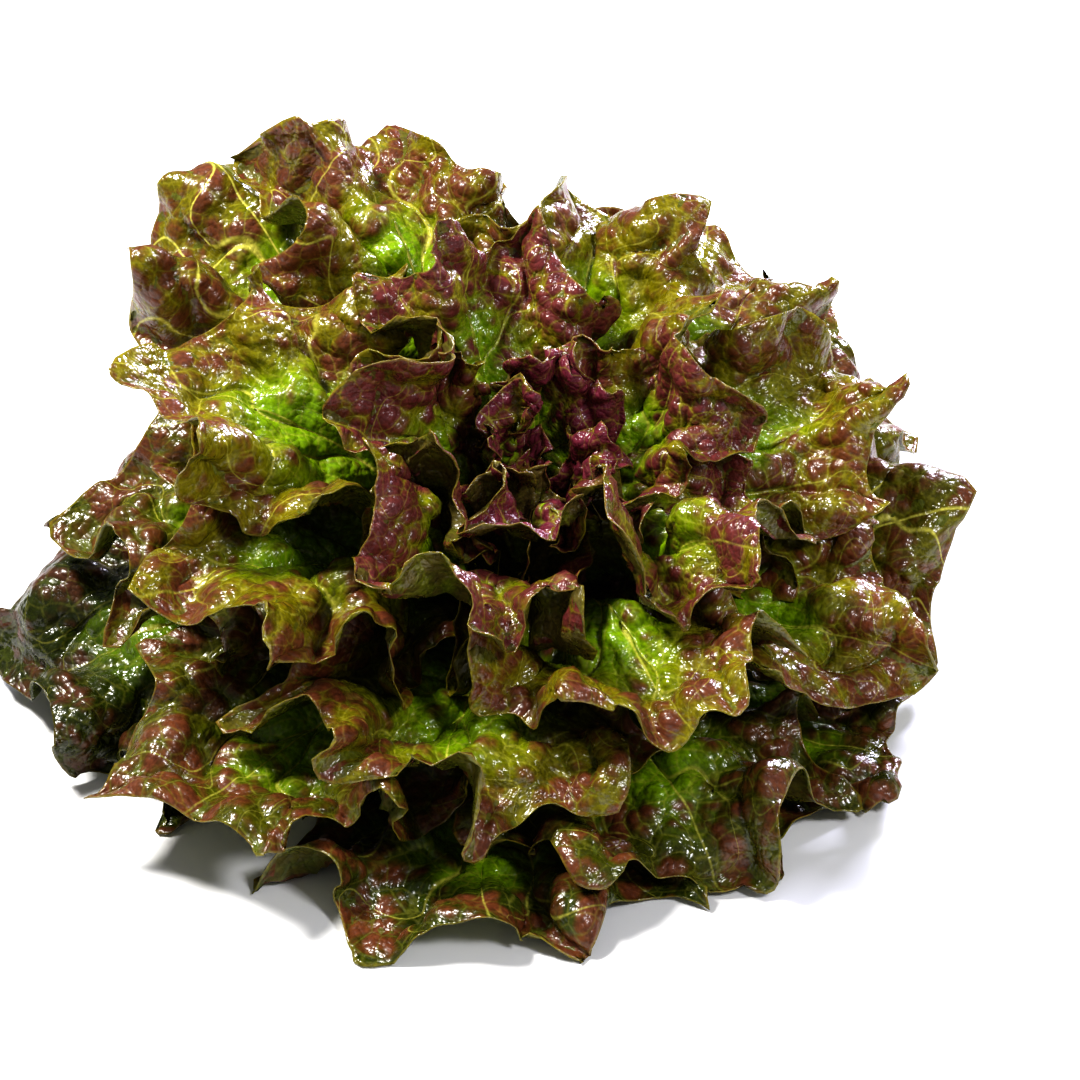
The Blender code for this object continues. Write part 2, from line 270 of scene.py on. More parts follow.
def raise_map(table, layer, direction, distance):
    """The map with a leaf laid on it, one cell wider than the leaf all round."""
    row = np.round(direction / (2 * pi) * MAP_DIRECTIONS).astype(int) % MAP_DIRECTIONS
    column = np.round(distance / MAP_REACH * (MAP_DISTANCES - 1)).astype(int)
    column = np.clip(column, 0, MAP_DISTANCES - 1)
    leaf = np.full(table.shape, MAP_LAYERS[0])
    np.maximum.at(leaf, (row, column), layer)
    leaf = np.maximum.reduce([np.roll(leaf, turn, axis=0) for turn in (-1, 0, 1)])
    padded = np.pad(leaf, ((0, 0), (1, 1)), mode="edge")
    return np.maximum(table, np.maximum.reduce([padded[:, :-2], padded[:, 1:-1], padded[:, 2:]]))


def settle(leaf, surface, below):
    """Lifts the leaf clear of the surface and of the leaves below, smoothly, as a springy sheet lies."""
    places, shares = np.linspace(0, 1, SHEET_PLACES), np.linspace(0, 1, SHEET_SHARES)
    edge, out = np.meshgrid(places, shares, indexing="ij")
    layer, direction, distance = leaf.free_sheet(edge, out)
    gap = LEAF_GAP_AT_FOOT + (LEAF_GAP - LEAF_GAP_AT_FOOT) * smooth(distance / FULL_GAP_FROM)
    room = gap + leaf.thickness(edge, out)
    over_leaves = read_map(below, direction, distance) + room / layer_depth(layer, distance)
    needed = np.maximum(np.maximum(over_leaves, read_map(surface, direction, distance)) - layer, 0)
    lift = needed
    for _ in range(LIFT_ROUNDS):
        padded = np.pad(lift, 1, mode="edge")
        mean = (padded[2:, 1:-1] + padded[:-2, 1:-1] + padded[1:-1, 2:] + padded[1:-1, :-2]) / 4
        mean[:, 0] = (mean[:, 0] + mean[::-1, 0]) / 2
        lift = np.maximum(needed, mean)
    leaf.lift = lift
    return raise_map(below, layer + lift, direction, distance)


def grown_leaves():
    """All the leaves, settled one on another from the lowest layer to the highest."""
    surface = surface_map()
    below = np.full(surface.shape, MAP_LAYERS[0])
    leaves = [Leaf(number, *row) for number, row in enumerate(LEAVES, start=1)]
    for leaf in leaves:
        below = settle(leaf, surface, below)
    return leaves


# The fine mesh of a leaf: rows round its margin, and columns from its midrib out, a little closer outside.
# The blade is thinner than the solid's, and thinnest at its edge.
FINE_ROWS = {"outer": 264, "middle": 264, "inner": 224, "heart": 200}
FINE_COLUMNS = {"outer": 44, "middle": 44, "inner": 38, "heart": 32}
COLUMN_SPREAD = 0.85
THIN_BLADE = 0.0007
THIN_EDGE = 0.0004

# The points of the lobes reach further than on the solid, and the arcs between them less.
HORN_REACH = 0.17
HORN_LEVEL = 0.35
HORN_SHARPNESS = 1.5

# Side veins leave the midrib and wander to the points of the lobes. The blade puffs up between them in
# pleats. From MARGIN_FROM out, the pleats sink to this share of their height.
VEIN_WANDER = 0.22
VEIN_RIDGE = 0.0005
VEIN_RIDGE_WIDTH = 0.0009
PLEAT_SHARE = 0.17
PLEAT_LIMIT = 0.0042
PLEAT_LEVEL = 0.45
PLEAT_MARGIN = 0.3
MARGIN_FROM = 0.75

# The margin, from CURL_FROM out, turns under on the crests of the waves and up in their troughs.
CURL_FROM = 0.80
CURL_UNDER = 0.9
CURL_UP = 0.5

# Loose crumples, as pitch and share of it that they stand out, and the margin's frill, as pitch and height.
CRUMPLES = ((0.052, 0.045), (0.034, 0.050), (0.023, 0.050), (0.015, 0.050))
FRILLS = ((0.030, 0.0034), (0.017, 0.0012))
FRILL_SHARE = {"outer": 0.25, "middle": 0.4, "inner": 0.7, "heart": 0.7}
CRUMPLE_FROM = 0.35
FRILL_FROM = 0.6

# The blisters: their size and height, and how much of that height the margin loses. They are calm this
# near to a midrib or a side vein.
BLISTER_SIZE = {"outer": 0.0082, "middle": 0.0074, "inner": 0.0062, "heart": 0.0050}
BLISTER_HEIGHT = {"outer": 0.0019, "middle": 0.0021, "inner": 0.0021, "heart": 0.0017}
CALM_MARGIN = {"outer": 0.80, "middle": 0.60, "inner": 0.30, "heart": 0.10}
CALM_MIDRIB = 0.006
CALM_VEIN = 0.0035
SMALL_BLISTERS = 0.3

# The pattern of a leaf is read at its points, shaken a little and moved on from leaf to leaf.
GRAIN_SHAKE = 0.0012
GRAIN_SHAKE_PITCH = 0.0035
GRAIN_STEP = 0.5

# The fine stem, with shallow furrows along it and fibres that are longer than wide.
FINE_STEM_SIDES = 96
FINE_STEM_RINGS = 40
STEM_FURROW = 0.05
STEM_SHARP = radians(50)
FIBRE_STRETCH = 0.12

# Colours, linear: fresh green by the midrib, olive or deep green further out, brown and purple on the
# crests. The stem is pale at its foot, greener above, and brown where its cut face has dried.
FRESH = (0.190, 0.320, 0.002)
OLIVE = (0.175, 0.150, 0.003)
DEEP = (0.038, 0.050, 0.003)
BROWN = (0.135, 0.050, 0.012)
PURPLE = (0.165, 0.028, 0.048)
VEIN_PALE = (0.560, 0.520, 0.100)
MARGIN_LINE = (0.240, 0.200, 0.015)
UNDERSIDE = (0.100, 0.125, 0.016)
STEM_PALE = (0.520, 0.540, 0.260)
STEM_GREEN = (0.300, 0.420, 0.090)
STEM_CUT = (0.280, 0.130, 0.045)

# Per kind of leaf: how red it is, and how much of the red is purple.
TONES = {
    "outer": (0.32, 0.05),
    "middle": (0.32, 0.10),
    "inner": (0.56, 0.50),
    "heart": (0.78, 0.95),
}

# A leaf is olive rather than deep green from this layer up. Some leaves differ from what their layer gives:
# how much redder and lighter they are, and how much stronger their veins. A leaf whose lightness falls
# below zero is darkened all over as painted shade.
OLIVE_LAYER = 0.45
LEAF_TONES = {
    "outer_back_left": (0.0, 0.1, 1.6),
    "outer_right": (0.0, 0.0, 1.4),
    # Painted shade: the lowest left leaf's lightness below zero darkens the whole leaf, because its face
    # catches the key light.
    "outer_left_low": (-0.25, -0.3, 0.0),
    "outer_left": (-0.10, -0.2, 0.3),
    "outer_front": (-0.05, 0.0, 0.4),
    "middle_left": (-0.10, 0.1, 0.4),
    "middle_back": (0.05, 0.0, 0.8),
    "middle_back_right": (-0.10, 0.2, 0.2),
}

# The vectors that a leaf's mesh carries for its material, and what their three numbers are.
CARRIED = {
    "vein": ("phase", "spacing", "from_rib"),
    "place": ("out", "up", "lower"),
    "tone": ("redder", "lighter", "veined"),
}

# Lines in metres: the midrib at its foot and tip, and a side vein at the midrib and the margin. A side vein
# forks from FORK_FROM out, and its branches end this share of the spacing from its own line.
RIB_WIDTHS = (0.0030, 0.0006)
SIDE_WIDTHS = (0.0011, 0.0003)
FORK_FROM = 0.32
FORK_SPREAD = 0.27
SIDE_STRENGTH = 0.85
NET_STRENGTH = 0.35
VEINED_STRENGTH = 0.45

BLOTCH_SIZE = 0.014
SPECKLE_SIZE = 0.0016
BUMP_DEPTH = 0.0007

# The photograph's view.
VIEW_HEIGHT = radians(35)
VIEW_DISTANCE = 1.05
VIEW_WIDTH = 0.40
VIEW_AIM = Vector((0.014, -0.010, 0.053))
SENSOR_WIDTH = 36

# A plain studio: paper underfoot, and soft lights as name, place, watts, side and colour.
FLOOR_REACH = 3
PAPER_WHITE = (0.9, 0.9, 0.9, 1)
SKY_STRENGTH = 0.20
LIGHTS = (
    ("key", (-0.55, 0.05, 1.0), 14, 0.20, (1.0, 0.98, 0.95)),
    ("rim", (0.55, 0.85, 0.6), 17, 0.25, (0.80, 0.80, 1.0)),
    ("fill", (0.6, -0.6, 0.9), 5.5, 0.2, (0.95, 0.95, 1.0)),
)


def kind_of(leaf):
    """Outer, middle, inner or heart."""
    return leaf.name.split("_")[0]


def vein_phase(leaf, edge, out):
    """Whole numbers on the side veins, which wander on their way to the points of the lobes."""
    wander = np.sin(7 * out + 9 * edge + leaf.drift[3]) + 0.5 * np.sin(15 * out + leaf.drift[4])
    return leaf.point_phase(edge) + VEIN_WANDER * wander * 4 * out * (1 - out)


def vein_spacing(leaf, edge, out):
    """Metres between neighbouring side veins."""
    across, along = leaf.flat(edge, out)
    step = edge[1, 0] - edge[0, 0]
    return np.hypot(np.gradient(across, step, axis=0), np.gradient(along, step, axis=0)) / POINTS


def horned(leaf, edge, out):
    """How far out a point is once the points of the lobes are drawn out."""
    tip = (1 - np.abs(np.sin(pi * leaf.point_phase(edge)))) ** HORN_SHARPNESS
    return out * (1 + HORN_REACH * (tip - HORN_LEVEL) * leaf.looseness(edge) * out**3)


def unit(vectors):
    return vectors / np.maximum(np.linalg.norm(vectors, axis=-1, keepdims=True), 1e-9)


def upper_normals(points):
    """The directions in which the leaf's upper face looks."""
    outwards = np.gradient(points, axis=1)
    onwards = np.gradient(points, axis=0)
    normals = unit(np.cross(outwards, onwards))
    normals[:, 0] = unit(normals[:, 0] + normals[::-1, 0])
    return normals


def curl_margin(leaf, points, edge, out):
    """Turns the outermost part of every ray: under on the crests of the waves and up in the troughs."""
    crest = np.sin(leaf.wave(edge))
    swing = np.sin(5 * pi * edge + leaf.drift[2]) * 0.5 + 0.7
    turn = np.where(crest > 0, CURL_UNDER, CURL_UP) * crest * swing * leaf.looseness(edge)
    angle = turn * smooth((out - CURL_FROM) / (1 - CURL_FROM))
    steps = np.diff(points, axis=1)
    lengths = np.linalg.norm(steps, axis=-1, keepdims=True)
    normals = upper_normals(points)[:, :-1]
    half_way = ((angle[:, 1:] + angle[:, :-1]) / 2)[..., None]
    turned = steps * np.cos(half_way) - normals * lengths * np.sin(half_way)
    return np.concatenate([points[:, :1], points[:, :1] + np.cumsum(turned, axis=1)], axis=1)


def crumples(leaf, points):
    """Loose waves of several pitches, each across its own direction in space."""
    height = np.zeros(points.shape[:2])
    for number, (pitch, share) in enumerate(CRUMPLES):
        way = unit(np.sin(np.array([1.0, 2.3, 4.1]) * (number + 1) + leaf.drift[number]))
        wave = points @ way * 2 * pi / pitch
        bend = points @ way[[1, 2, 0]] * 2 * pi / pitch
        height += pitch * share * np.sin(wave + 1.3 * np.sin(0.7 * bend + leaf.drift[number + 4]))
    return height


def frills(leaf, points, edge, out):
    """Small waves of the margin, of even pitch along it."""
    margin = np.linalg.norm(np.diff(points[:, -1], axis=0), axis=1)
    round_margin = np.concatenate([[0], np.cumsum(margin)])[:, None]
    height = np.zeros(edge.shape)
    for number, (pitch, size) in enumerate(FRILLS):
        wave = round_margin * 2 * pi / pitch + leaf.drift[number]
        height += size * np.sin(wave + 1.4 * np.sin(wave * 0.31 + leaf.drift[number + 3]))
    near_margin = smooth((out - FRILL_FROM) / (1 - FRILL_FROM))
    return height * FRILL_SHARE[kind_of(leaf)] * near_margin * leaf.looseness(edge)


def relief(leaf, points, edge, out):
    """How far the blade stands out of its smooth sheet: pleats between the veins, loose crumples, a frill
    along the margin and a ridge on each side vein."""
    phase, spacing = vein_phase(leaf, edge, out), vein_spacing(leaf, edge, out)
    pleat = np.abs(np.sin(pi * phase)) ** 0.8 - PLEAT_LEVEL
    pleat *= np.minimum(PLEAT_SHARE * spacing, PLEAT_LIMIT)
    pleat *= 1 - (1 - PLEAT_MARGIN) * smooth((out - MARGIN_FROM) / (1 - MARGIN_FROM))
    to_vein = np.abs(phase - np.round(phase)) * spacing
    ridge = VEIN_RIDGE * np.exp(-((to_vein / VEIN_RIDGE_WIDTH) ** 2)) * (1 - out)
    crumple = crumples(leaf, points) * smooth(out / CRUMPLE_FROM)
    return pleat + crumple + frills(leaf, points, edge, out) + ridge


def blade_thickness(leaf, edge, out):
    """Metres, with the rib that stands out under the midrib."""
    thin = THIN_BLADE + (THIN_EDGE - THIN_BLADE) * smooth((out - 0.5) / 0.5)
    return leaf.thickness(edge, out) - BLADE_THICKNESS + thin


def lower_triangles(lower):
    """The lower face, two rows and two columns at a time, with every point of the rim. The row at the
    foot and those at the margin have a point in the middle of each side."""
    rows, columns = lower.shape[0] - 1, lower.shape[1] - 1
    triangles = []
    for i in range(0, rows, 2):
        for j in range(0, columns, 2):
            ring = [lower[i, j]]
            ring += [lower[i, j + 1]] if i == 0 else []
            ring += [lower[i, j + 2]]
            ring += [lower[i + 1, j + 2]] if j + 2 == columns else []
            ring += [lower[i + 2, j + 2]]
            ring += [lower[i + 2, j + 1]] if i + 2 == rows else []
            ring += [lower[i + 2, j]]
            triangles += [(ring[0], ring[k + 1], ring[k]) for k in range(1, len(ring) - 1)]
    return np.array(triangles)


def sheet_triangles(rows, columns):
    """The triangles of a closed sheet. The upper face has every point of the grid; the lower face has
    every second one, and all of those on the rim. The midrib's points are shared by its two sides."""
    upper = np.arange((rows + 1) * (columns + 1)).reshape(rows + 1, columns + 1)
    upper[rows // 2 + 1 :, 0] = upper[: rows // 2, 0][::-1]
    lower = upper + upper.size
    corners = [upper[:-1, :-1], upper[:-1, 1:], upper[1:, 1:], upper[1:, :-1]]
    first, second, third, fourth = (corner.reshape(-1) for corner in corners)
    triangles = [np.stack([first, second, third], 1), np.stack([first, third, fourth], 1)]
    triangles.append(lower_triangles(lower))
    rim = [(upper[:, -1], lower[:, -1]), (upper[0, ::-1], lower[0, ::-1]), (upper[-1], lower[-1])]
    for above, below in rim:
        triangles.append(np.stack([above[1:], above[:-1], below[:-1]], 1))
        triangles.append(np.stack([above[1:], below[:-1], below[1:]], 1))
    return np.concatenate(triangles)


def triangle_mesh(name, points, triangles, attributes):
    """A smooth mesh of the points that the triangles use, with a named vector for each of them."""
    used = np.unique(triangles)
    renumber = np.zeros(len(points), np.int32)
    renumber[used] = np.arange(len(used), dtype=np.int32)
    mesh = bpy.data.meshes.new(name)
    mesh.vertices.add(len(used))
    mesh.vertices.foreach_set("co", points[used].astype(np.float32).ravel())
    mesh.loops.add(triangles.size)
    mesh.loops.foreach_set("vertex_index", renumber[triangles].ravel())
    mesh.polygons.add(len(triangles))
    mesh.polygons.foreach_set("loop_start", np.arange(0, triangles.size, 3, dtype=np.int32))
    for label, values in attributes.items():
        layer = mesh.attributes.new(label, "FLOAT_VECTOR", "POINT")
        layer.data.foreach_set("vector", values[used].astype(np.float32).ravel())
    mesh.update(calc_edges=True)
    mesh.shade_smooth()
    return mesh


def leaf_faces(leaf, edge, out):
    """The points of the leaf's upper and lower face, clear of the surface, and its upper normals."""
    layer, direction, distance = leaf.sheet(edge, horned(leaf, edge, out))
    layer[:, 0] = (layer[:, 0] + layer[::-1, 0]) / 2
    upper = curl_margin(leaf, place(layer, direction, distance), edge, out)
    upper = upper + upper_normals(upper) * relief(leaf, upper, edge, out)[..., None]
    normals = upper_normals(upper)
    lower = upper - normals * blade_thickness(leaf, edge, out)[..., None]
    lower[..., 2] = np.maximum(lower[..., 2], SURFACE_GAP)
    upper[..., 2] = np.maximum(upper[..., 2], SURFACE_GAP + THIN_EDGE)
    return upper, lower, normals


def on_both_faces(values):
    return np.concatenate([values.reshape(-1, 3)] * 2)


def leaf_mesh(leaf, number):
    """The fine closed mesh of a leaf, with what its blisters and its material read:
    grain, where a point is in the leaf's own pattern; puff, which way and how far a blister pushes it;
    vein, its place among the side veins, their spacing and its distance from the midrib;
    place, how far out it is from the midrib, how far up from the foot, and 1 on the lower face;
    tone, how much redder and lighter than usual the leaf is, and how strong its veins are."""
    kind = kind_of(leaf)
    places = np.linspace(0, 1, FINE_ROWS[kind] + 1)
    shares = np.linspace(0, 1, FINE_COLUMNS[kind] + 1) ** COLUMN_SPREAD
    edge, out = np.meshgrid(places, shares, indexing="ij")
    upper, lower, normals = leaf_faces(leaf, edge, out)

    shake = GRAIN_SHAKE * np.sin(upper[..., [1, 2, 0]] / GRAIN_SHAKE_PITCH)
    grain = upper + shake + GRAIN_STEP * number
    from_rib = np.abs(leaf.flat(edge, out)[0])
    phase, spacing = vein_phase(leaf, edge, out), vein_spacing(leaf, edge, out)
    to_vein = np.abs(phase - np.round(phase)) * spacing
    calm = smooth(from_rib / CALM_MIDRIB) * smooth(to_vein / CALM_VEIN)
    calm *= 1 - CALM_MARGIN[kind] * smooth((out - MARGIN_FROM) / (1 - MARGIN_FROM))
    puff = normals * (BLISTER_HEIGHT[kind] * calm)[..., None]
    up = 1 - np.abs(2 * edge - 1)
    faces = [np.stack([out, up, np.full(out.shape, face)], -1).reshape(-1, 3) for face in (0, 1)]
    redder, lighter, veined = LEAF_TONES.get(leaf.name, (0, 0, 0))
    tone = np.broadcast_to([redder, lighter + smooth(leaf.layer / OLIVE_LAYER), veined], upper.shape)
    attributes = {
        "grain": on_both_faces(grain),
        "puff": on_both_faces(puff),
        "vein": on_both_faces(np.stack([phase, spacing, from_rib], -1)),
        "tone": on_both_faces(tone),
        "place": np.concatenate(faces),
    }
    points = np.concatenate([upper.reshape(-1, 3), lower.reshape(-1, 3)])
    triangles = sheet_triangles(FINE_ROWS[kind], FINE_COLUMNS[kind])
    return triangle_mesh(leaf.name, points, triangles, attributes)


def plug(tree, value, socket):
    """Links a socket to a value, or sets it."""
    if isinstance(value, bpy.types.NodeSocket):
        tree.links.new(value, socket)
    else:
        socket.default_value = value


def calc(tree, operation, *values, clamp=False):
    node = tree.nodes.new("ShaderNodeMath")
    node.operation = operation
    node.use_clamp = clamp
    for value, socket in zip(values, node.inputs):
        plug(tree, value, socket)
    return node.outputs[0]


def add(tree, first, second, clamp=False):
    return calc(tree, "ADD", first, second, clamp=clamp)


def less(tree, first, second, clamp=False):
    return calc(tree, "SUBTRACT", first, second, clamp=clamp)


def times(tree, first, second):
    return calc(tree, "MULTIPLY", first, second)


def most(tree, first, second):
    return calc(tree, "MAXIMUM", first, second)


def vector_calc(tree, operation, vector, value, socket):
    """A vector changed by the value in the socket of that name or number."""
    node = tree.nodes.new("ShaderNodeVectorMath")
    node.operation = operation
    plug(tree, vector, node.inputs[0])
    plug(tree, value, node.inputs[socket])
    return node.outputs[0]


def split(tree, vector):
    node = tree.nodes.new("ShaderNodeSeparateXYZ")
    tree.links.new(vector, node.inputs[0])
    return node.outputs


def ease(tree, value, low, high, start=0.0, end=1.0):
    """The value mapped smoothly from low and high to start and end."""
    node = tree.nodes.new("ShaderNodeMapRange")
    node.interpolation_type = "SMOOTHSTEP"
    for setting, socket in zip((value, low, high, start, end), node.inputs):
        plug(tree, setting, socket)
    return node.outputs[0]


def mix(tree, factor, first, second):
    """A colour between two colours."""
    node = tree.nodes.new("ShaderNodeMix")
    node.data_type = "RGBA"
    for value, socket in ((factor, node.inputs[0]), (first, node.inputs[6]), (second, node.inputs[7])):
        plug(tree, (*value, 1) if isinstance(value, tuple) else value, socket)
    return node.outputs[2]


def voronoi(tree, grain, size, feature):
    """The distance that a Voronoi pattern of this cell size gives."""
    node = tree.nodes.new("ShaderNodeTexVoronoi")
    node.voronoi_dimensions = "3D"
    node.feature = feature
    plug(tree, grain, node.inputs["Vector"])
    node.inputs["Scale"].default_value = 1 / size
    return node.outputs["Distance"]


def dome(tree, grain, size):
    """Blisters of about this size: 1 on the crest of each and 0 in the valleys."""
    share = calc(tree, "DIVIDE", voronoi(tree, grain, size, "F1"), 0.85)
    return less(tree, 1.0, times(tree, share, share), clamp=True)


def noise(tree, grain, size):
    node = tree.nodes.new("ShaderNodeTexNoise")
    node.noise_dimensions = "3D"
    plug(tree, grain, node.inputs["Vector"])
    node.inputs["Scale"].default_value = 1 / size
    node.inputs["Detail"].default_value = 3.0
    return node.outputs[0]


def bumped(tree, shader, height, strength, depth):
    """Gives the shader fine relief, and returns the normal."""
    bump = tree.nodes.new("ShaderNodeBump")
    bump.inputs["Strength"].default_value = strength
    bump.inputs["Distance"].default_value = depth
    tree.links.new(height, bump.inputs["Height"])
    tree.links.new(bump.outputs[0], shader.inputs["Normal"])
    return bump.outputs[0]


def new_material(name):
    finish = bpy.data.materials.new(name)
    finish.use_nodes = True
    tree = finish.node_tree
    return finish, tree, tree.nodes["Principled BSDF"]


def blister_group(size):
    """Geometry nodes that push the points of a leaf out into blisters, large ones and small ones."""
    tree = bpy.data.node_groups.new("blisters", "GeometryNodeTree")
    for way in ("INPUT", "OUTPUT"):
        tree.interface.new_socket(name="Leaf", in_out=way, socket_type="NodeSocketGeometry")
    vectors = []
    for label in ("grain", "puff"):
        named = tree.nodes.new("GeometryNodeInputNamedAttribute")
        named.data_type = "FLOAT_VECTOR"
        named.inputs["Name"].default_value = label
        vectors.append(named.outputs["Attribute"])
    grain, puff = vectors
    small = times(tree, dome(tree, grain, size / 2), SMALL_BLISTERS)
    height = add(tree, dome(tree, grain, size), small)
    move = tree.nodes.new("GeometryNodeSetPosition")
    start, end = tree.nodes.new("NodeGroupInput"), tree.nodes.new("NodeGroupOutput")
    tree.links.new(start.outputs[0], move.inputs["Geometry"])
    tree.links.new(vector_calc(tree, "SCALE", puff, height, "Scale"), move.inputs["Offset"])
    tree.links.new(move.outputs["Geometry"], end.inputs[0])
    return tree


def leaf_values(tree, size):
    """What the mesh carries and the patterns that are read in it, by name."""
    values = {}
    for label in ("grain", *CARRIED):
        node = tree.nodes.new("ShaderNodeAttribute")
        node.attribute_name = label
        values[label] = node.outputs["Vector"]
    for label, names in CARRIED.items():
        values.update(zip(names, split(tree, values[label])))
    grain = values["grain"]
    values["crest"] = dome(tree, grain, size)
    values["small_crest"] = dome(tree, grain, size / 2)
    values["blotches"] = noise(tree, grain, BLOTCH_SIZE)
    values["speckles"] = noise(tree, grain, SPECKLE_SIZE)
    return values


def rib_lines(tree, values):
    """1 on the midrib and somewhat less on the side veins, with their forks."""
    rib_width = ease(tree, values["up"], 0.0, 1.0, *RIB_WIDTHS)
    midrib = ease(tree, values["from_rib"], rib_width, 0.0, 0.0, 1.0)
    turn = calc(tree, "FRACT", add(tree, values["phase"], 0.5))
    off_vein = calc(tree, "ABSOLUTE", less(tree, turn, 0.5))
    branch = ease(tree, values["out"], FORK_FROM, 1.0, 0.0, FORK_SPREAD)
    off_branch = calc(tree, "ABSOLUTE", less(tree, off_vein, branch))
    side_width = ease(tree, values["out"], 0.0, 1.0, *SIDE_WIDTHS)
    side_width = times(tree, side_width, add(tree, 1.0, values["veined"]))
    away = times(tree, off_branch, values["spacing"])
    return most(tree, midrib, ease(tree, away, side_width, 0.0, 0.0, SIDE_STRENGTH))


def net_lines(tree, values, size):
    """The net in the valleys between blisters."""
    to_edge = voronoi(tree, values["grain"], size, "DISTANCE_TO_EDGE")
    return ease(tree, to_edge, 0.07, 0.0, 0.0, NET_STRENGTH)


def redness(tree, values, lines, drift, red_share):
    """How red the leaf is: more on crests, in blotches and far out, and less by the veins."""
    spread = ease(tree, values["out"], 0.10, 0.90, -0.45, 0.15)
    crests = add(tree, values["crest"], times(tree, values["small_crest"], 0.5))
    lumps = times(tree, crests, 0.75)
    red = add(tree, add(tree, spread, drift), add(tree, lumps, red_share - 0.55))
    red = less(tree, add(tree, red, values["redder"]), times(tree, lines, 0.4))
    return ease(tree, red, 0.1, 0.9)


def leaf_colour(tree, values, size, red_share, purple_share):
    """Green that dulls outwards, red on top of it, then the pale lines, the lower face and the margin, then
    speckles, and painted shade that darkens a leaf whose lightness is below zero.
    """
    ribs = rib_lines(tree, values)
    lines = most(tree, ribs, net_lines(tree, values, size))
    drift = times(tree, less(tree, values["blotches"], 0.5), 2.6)
    red = redness(tree, values, lines, drift, red_share)
    dull = ease(tree, add(tree, values["out"], times(tree, drift, 0.15)), 0.15, 0.65)
    green = mix(tree, dull, FRESH, mix(tree, values["lighter"], DEEP, OLIVE))
    purple = add(tree, times(tree, values["crest"], 0.35), purple_share - 0.2, clamp=True)
    colour = mix(tree, red, green, mix(tree, purple, BROWN, PURPLE))
    pale = times(tree, lines, ease(tree, values["out"], 0.1, 1.0, 0.75, 0.30))
    stronger = times(tree, times(tree, ribs, values["veined"]), VEINED_STRENGTH)
    colour = mix(tree, add(tree, pale, stronger, clamp=True), colour, VEIN_PALE)
    colour = mix(tree, times(tree, values["lower"], 0.65), colour, UNDERSIDE)
    colour = mix(tree, ease(tree, values["out"], 0.984, 0.996, 0.0, 0.5), colour, MARGIN_LINE)
    speckle = ease(tree, values["speckles"], 0.3, 0.7, 0.75, 1.25)
    # Random speckles, times painted shade that darkens a whole leaf whose lightness is below zero.
    speckle_and_painted_shade = times(tree, speckle, ease(tree, values["lighter"], -0.35, 0.0, 0.5, 1.0))
    shade = tree.nodes.new("ShaderNodeHueSaturation")
    plug(tree, speckle_and_painted_shade, shade.inputs["Value"])
    plug(tree, colour, shade.inputs["Color"])
    return shade.outputs[0]


def leaf_material(kind):
    """Glossy, moist leaf: its blotches and crests follow the same pattern as the blisters."""
    finish, tree, shader = new_material(kind + "_leaf")
    size = BLISTER_SIZE[kind]
    values = leaf_values(tree, size)
    tree.links.new(leaf_colour(tree, values, size, *TONES[kind]), shader.inputs["Base Color"])
    tree.links.new(ease(tree, values["blotches"], 0.3, 0.7, 0.21, 0.36), shader.inputs["Roughness"])
    shader.inputs["Specular IOR Level"].default_value = 0.5
    shader.inputs["Coat Weight"].default_value = 0.15
    shader.inputs["Coat Roughness"].default_value = 0.12
    finest = times(tree, dome(tree, values["grain"], size / 4), 0.35)
    height = add(tree, times(tree, values["small_crest"], 0.8), finest)
    normal = bumped(tree, shader, height, 0.8, BUMP_DEPTH)
    tree.links.new(normal, shader.inputs["Coat Normal"])
    return finish


def stem_material():
    """Pale green with fibres along it, and brown where the cut face has dried."""
    finish, tree, shader = new_material("stem")
    spot = tree.nodes.new("ShaderNodeTexCoord").outputs["Object"]
    stretched = vector_calc(tree, "MULTIPLY", spot, (1, 1, FIBRE_STRETCH), 1)
    fibres = noise(tree, stretched, 0.0012)
    height = split(tree, spot)[2]
    colour = mix(tree, ease(tree, height, 0.0, 0.04), STEM_PALE, STEM_GREEN)
    colour = mix(tree, ease(tree, fibres, 0.35, 0.65, 0.0, 0.35), colour, STEM_GREEN)
    patches = ease(tree, noise(tree, spot, 0.006), 0.2, 0.6)
    dried = times(tree, ease(tree, height, 0.002, 0.0), patches)
    tree.links.new(mix(tree, dried, colour, STEM_CUT), shader.inputs["Base Color"])
    tree.links.new(ease(tree, fibres, 0.3, 0.7, 0.35, 0.55), shader.inputs["Roughness"])
    shader.inputs["Subsurface Weight"].default_value = 0.15
    shader.inputs["Subsurface Radius"].default_value = (1.0, 1.0, 0.4)
    shader.inputs["Subsurface Scale"].default_value = 0.002
    bumped(tree, shader, fibres, 0.5, 0.0004)
    return finish


def furrowed_rings(shape):
    """Rings of points up the stem, on its solid's profile less the furrows, which wind round it."""
    top = STEM_RADIUS * (1 - STEM_TAPER) - STEM_GAP
    heights = (-FOOT_LOW, FOOT_LOW, FOOT_LOW + FOOT_RISE, FOOT_LOW + FOOT_RISE + STEM_TIP * 0.8)
    radii = (STEM_RADIUS * STEM_FLARE - STEM_GAP, STEM_RADIUS - STEM_GAP, top, top * 0.6)
    around = np.linspace(0, 2 * pi, FINE_STEM_SIDES, endpoint=False)
    rings = []
    for height in np.linspace(heights[0], heights[-1], FINE_STEM_RINGS):
        twist = around + height / STEM_RADIUS
        furrow = STEM_FURROW * (1 + np.sin(13 * twist) * np.sin(5 * twist)) / 2
        radius = np.interp(height, heights, radii) * (1 - furrow)
        rings.append([shape.verts.new((r * cos(a), r * sin(a), height)) for r, a in zip(radius, around)])
    return rings


